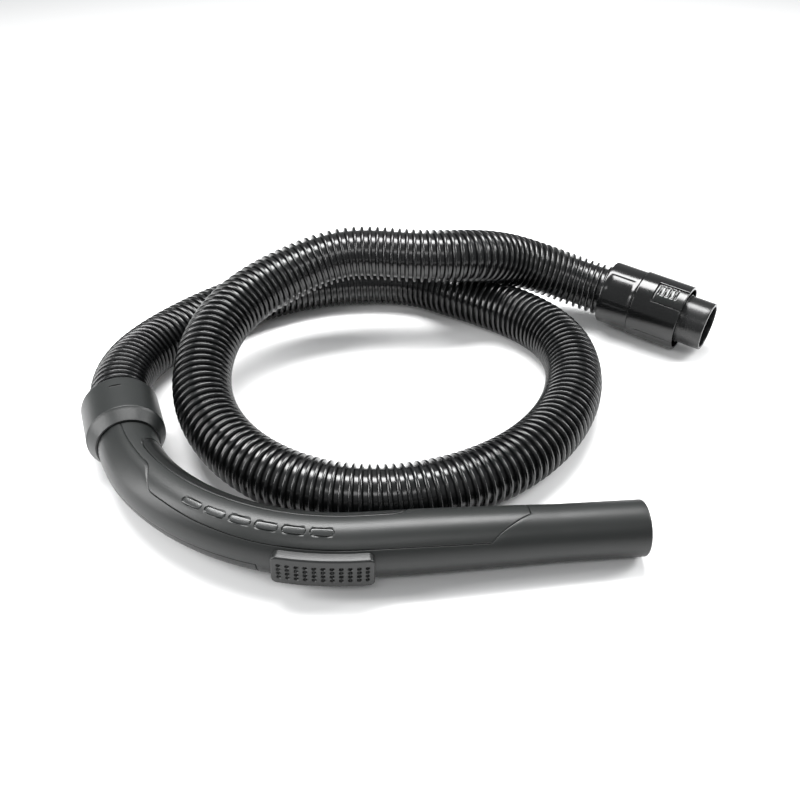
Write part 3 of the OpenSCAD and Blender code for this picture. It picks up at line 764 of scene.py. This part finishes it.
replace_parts(dress(makeSlider(), "slider"), "suction_slider")
print("slider made")


cuff = dict(outer=25, bore=22.95, length=26.3, mouth=19.7, lip=1.5)
shell = dict(outer=26, bore=23.8, start=26.6, end=64.6, spigot=19.4, web=3, tabFrom=42, tabA=38, tabAt=40.6,
             gap=0.3, swing=0.6)
spigot = dict(outer=19, seat=19.4, seatEnd=64.6, bore=16.6, flange=22.65, flangeAt=19.7, flangeLen=4.8,
              end=84.1)


def makeCuff():
    c = cuff
    p = [(c["bore"], 0), (c["outer"], 0), (c["outer"], c["length"]), (c["mouth"], c["length"]),
         (c["mouth"], c["length"] - c["lip"]), (c["bore"], c["length"] - c["lip"])]
    p = subdivided(rounded(p, [0.4, 1.2, 0.5, 0.2, 0.2, 0.2], 5), 1.3)

    def panel(r, z, a):  # a shallow panel with soft edges, sunk into the cuff's upper side
        psi = (-90 - a + 180) % 360 - 180
        across = ease((np.minimum(psi - 8, 67 - psi)) / 1.6)
        along = ease(np.minimum(z - 3.2, 24.6 - z) / 0.6)
        return -0.4 * across * along * (r > c["outer"] - 0.1)
    pts, faces = turned(p, 240, placePlug, panel)
    return finishMesh("plug_rear_cuff", pts, faces, "hose_line")


def makeSpigot():
    c = spigot
    p = [(c["bore"], c["flangeAt"]), (c["flange"], c["flangeAt"]),
         (c["flange"], c["flangeAt"] + c["flangeLen"]), (c["seat"], c["flangeAt"] + c["flangeLen"]),
         (c["seat"], c["seatEnd"]), (c["outer"], c["seatEnd"]), (c["outer"], c["end"]), (c["bore"], c["end"])]
    p = subdivided(rounded(p, [0.3, 0.3, 0.3, 0.2, 0.15, 0.1, 0.9, 0.5], 5), 2.5)
    groove = lambda r, z, a: -0.5 * np.exp(-((z - (c["end"] - 5.2)) / 0.45) ** 2) * (r > 18.5) + 0 * a
    pts, faces = turned(p, 120, placePlug, groove)
    return finishMesh("plug_spigot_tube", pts, faces, "plug")


# Angles round the plug: psi 0 is level on the near side and 90 on top; the shape's own angle is -90 - psi.
def ringPoint(psi, r, z):
    a = np.radians(-90 - psi)
    return placePlug(np.stack([r * np.cos(a), r * np.sin(a), z + 0 * a], -1))


def makeShell():
    c = shell
    g = math.degrees(c["gap"] / c["outer"])
    # a tab's free edge moves out a little as it swings in
    far = c["tabA"] + g + math.degrees(c["swing"] / c["outer"])
    psiEdges = [c["tabFrom"] - g, c["tabFrom"] + far, c["tabFrom"] + 180 - g, c["tabFrom"] + 180 + far]
    psi = lines(-60, 300, 3.0, psiEdges + [-21], (-1.8, -0.9, -0.4, 0, 0.4, 0.9, 1.8))[:-1]
    z0, z1 = c["tabAt"] - c["gap"], c["end"]
    z = lines(c["start"] + 0.02, c["end"] - 0.02, 1.6, (c["start"] + 0.02, z0, z1 - 0.02),
              (-0.8, -0.45, -0.2, 0, 0.2, 0.45, 0.8))
    zz, pp = np.meshgrid(z, psi, indexing="ij")
    edge = np.minimum(zz - c["start"], c["end"] - zz)
    for k in (0, 2):
        # distance outside a tab's opening, whose front is the shell's own rim
        a = (np.abs(pp - (psiEdges[k] + psiEdges[k + 1]) / 2) - (psiEdges[k + 1] - psiEdges[k]) /
             2) * rad(1) * c["outer"]
        b = z0 - zz
        edge = np.minimum(edge,
                          np.where(np.maximum(a, b) > 0, np.hypot(np.maximum(a, 0), np.maximum(b, 0)), 0))
    r = c["outer"] - dip(edge, 0.5)
    # parting groove low on the near side
    r = r - 0.35 * np.exp(-((pp + 21) * rad(1) * c["outer"] / 0.3) ** 2) * (zz > 32)
    inner = np.where(zz < c["start"] + c["web"], c["spigot"], c["bore"]) + 0 * r
    i0, i1 = int(np.argmin(abs(z - z0))), len(z) - 1
    j = [int(np.argmin(abs(psi - e))) for e in psiEdges]
    n, nv = len(z) * len(psi), len(psi)
    outer, bore = ringPoint(pp, r, zz), ringPoint(pp, inner, zz)
    # the tab openings run out through the front rim: walls along three sides, and no rim there
    faces = gridFaces(len(z), nv, False, True)
    i, k = faces[:, 0] // nv, faces[:, 0] % nv
    gone = lambda i, k: (i >= i0) & (((k >= j[0]) & (k < j[1])) | ((k >= j[2]) & (k < j[3])))
    faces = faces[~gone(i, k)]
    strips = []
    def strip(loop):
        a = np.array(loop)
        strips.append(np.stack([a[:-1], a[1:], a[1:] + n, a[:-1] + n], -1))
    strip([q % nv for q in range(nv + 1)])
    for a, b in ((j[1], j[2]), (j[3], j[0] + nv)):
        strip([i1 * nv + q % nv for q in range(a, b + 1)])
    for a, b in ((j[0], j[1]), (j[2], j[3])):
        strip([i * nv + a for i in range(i0, i1 + 1)])
        strip([i * nv + b for i in range(i0, i1 + 1)])
        strip([i0 * nv + q for q in range(a, b + 1)])
    verts = np.concatenate([outer.reshape(-1, 3), bore.reshape(-1, 3)])
    return finishMesh("plug_front_shell", verts, np.concatenate([faces, faces + n] + strips), "plug")


latch = dict(ribs=4, ribFirst=2.9, ribStep=3.9, ribH=0.6, edge=0.5, hookBack=1, hookLen=2.5, hookH=1.5)


# A latch tab: a slab of the shell's wall with low finger ribs across its back half and a hook inside its
# front.
def makeLatch(name, turn, body):
    c = shell
    psi = lines(c["tabFrom"], c["tabFrom"] + c["tabA"], 1.6, (c["tabFrom"], c["tabFrom"] + c["tabA"]),
                (-1.8, -0.9, -0.4, 0, 0.4, 0.9, 1.8))
    z = lines(c["tabAt"], c["end"] - 0.02, 0.42, (c["tabAt"], c["end"] - 0.02), (-0.45, -0.2, 0, 0.2, 0.45))
    zz, pp = np.meshgrid(z, psi, indexing="ij")
    edge = np.minimum(np.minimum(zz - c["tabAt"], c["end"] - zz),
                      np.minimum(pp - c["tabFrom"], c["tabFrom"] + c["tabA"] - pp) * rad(1) * c["outer"])
    r = c["outer"] - 0.02 - dip(edge, latch["edge"])
    sunk = ease((edge - 1.6) / 0.8)  # the middle is sunk a little, and the ribs stand in it up to the face
    first = c["tabAt"] + latch["ribFirst"]
    rib = sum(np.exp(-((zz - first - k * latch["ribStep"]) / 0.75) ** 4) for k in range(latch["ribs"]))
    field = ease((first + (latch["ribs"] - 0.4) * latch["ribStep"] - zz) / 1.0)
    across = ease((pp - 57) / 1.5) * ease((77 - pp) / 1.5)
    r = r - latch["ribH"] * sunk * field * across * (1 - np.clip(rib, 0, 1))
    hook = ease((zz - (c["end"] - latch["hookBack"] - latch["hookLen"])) /
                0.5) * ease((c["end"] - latch["hookBack"] - zz) /
                            0.5) * ease((pp - c["tabFrom"] - c["tabA"] / 2) /
                                        1.5) * ease((c["tabFrom"] + c["tabA"] - 2 - pp) / 1.5)
    inner = c["bore"] - latch["hookH"] * hook
    verts, faces = walled(ringPoint(pp + turn, r, zz), ringPoint(pp + turn, inner, zz), False)
    return finishMesh(name, verts, faces, body)


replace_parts(dress(makeCuff(), "plug_cuff"), "rear_cuff")
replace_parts(dress(makeSpigot(), "plug_spigot"), "machine_spigot")
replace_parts(dress(makeShell(), "plug_shell"), "connector_shell")
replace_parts(dress(makeLatch("upper_latch_tab", 0, "upper_latch"), "latch"), "latch_tab_upper")
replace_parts(dress(makeLatch("lower_latch_tab", 180, "lower_latch"), "latch"), "latch_tab_lower")
print("plug made")


shownNodes = {"handle_hose_sleeve": "sleeve", "handle_seal": "seal", "handle_thrust_ring": "thrust_ring",
              "vent_frame": "vent_frame", "slider_carrier": "sleeve",
              "machine_hose_sleeve": "sleeve", "machine_seal": "seal", "machine_thrust_ring": "thrust_ring"}
for name, finish in shownNodes.items():
    dress(nodes[name], finish)
print("inner pieces dressed")
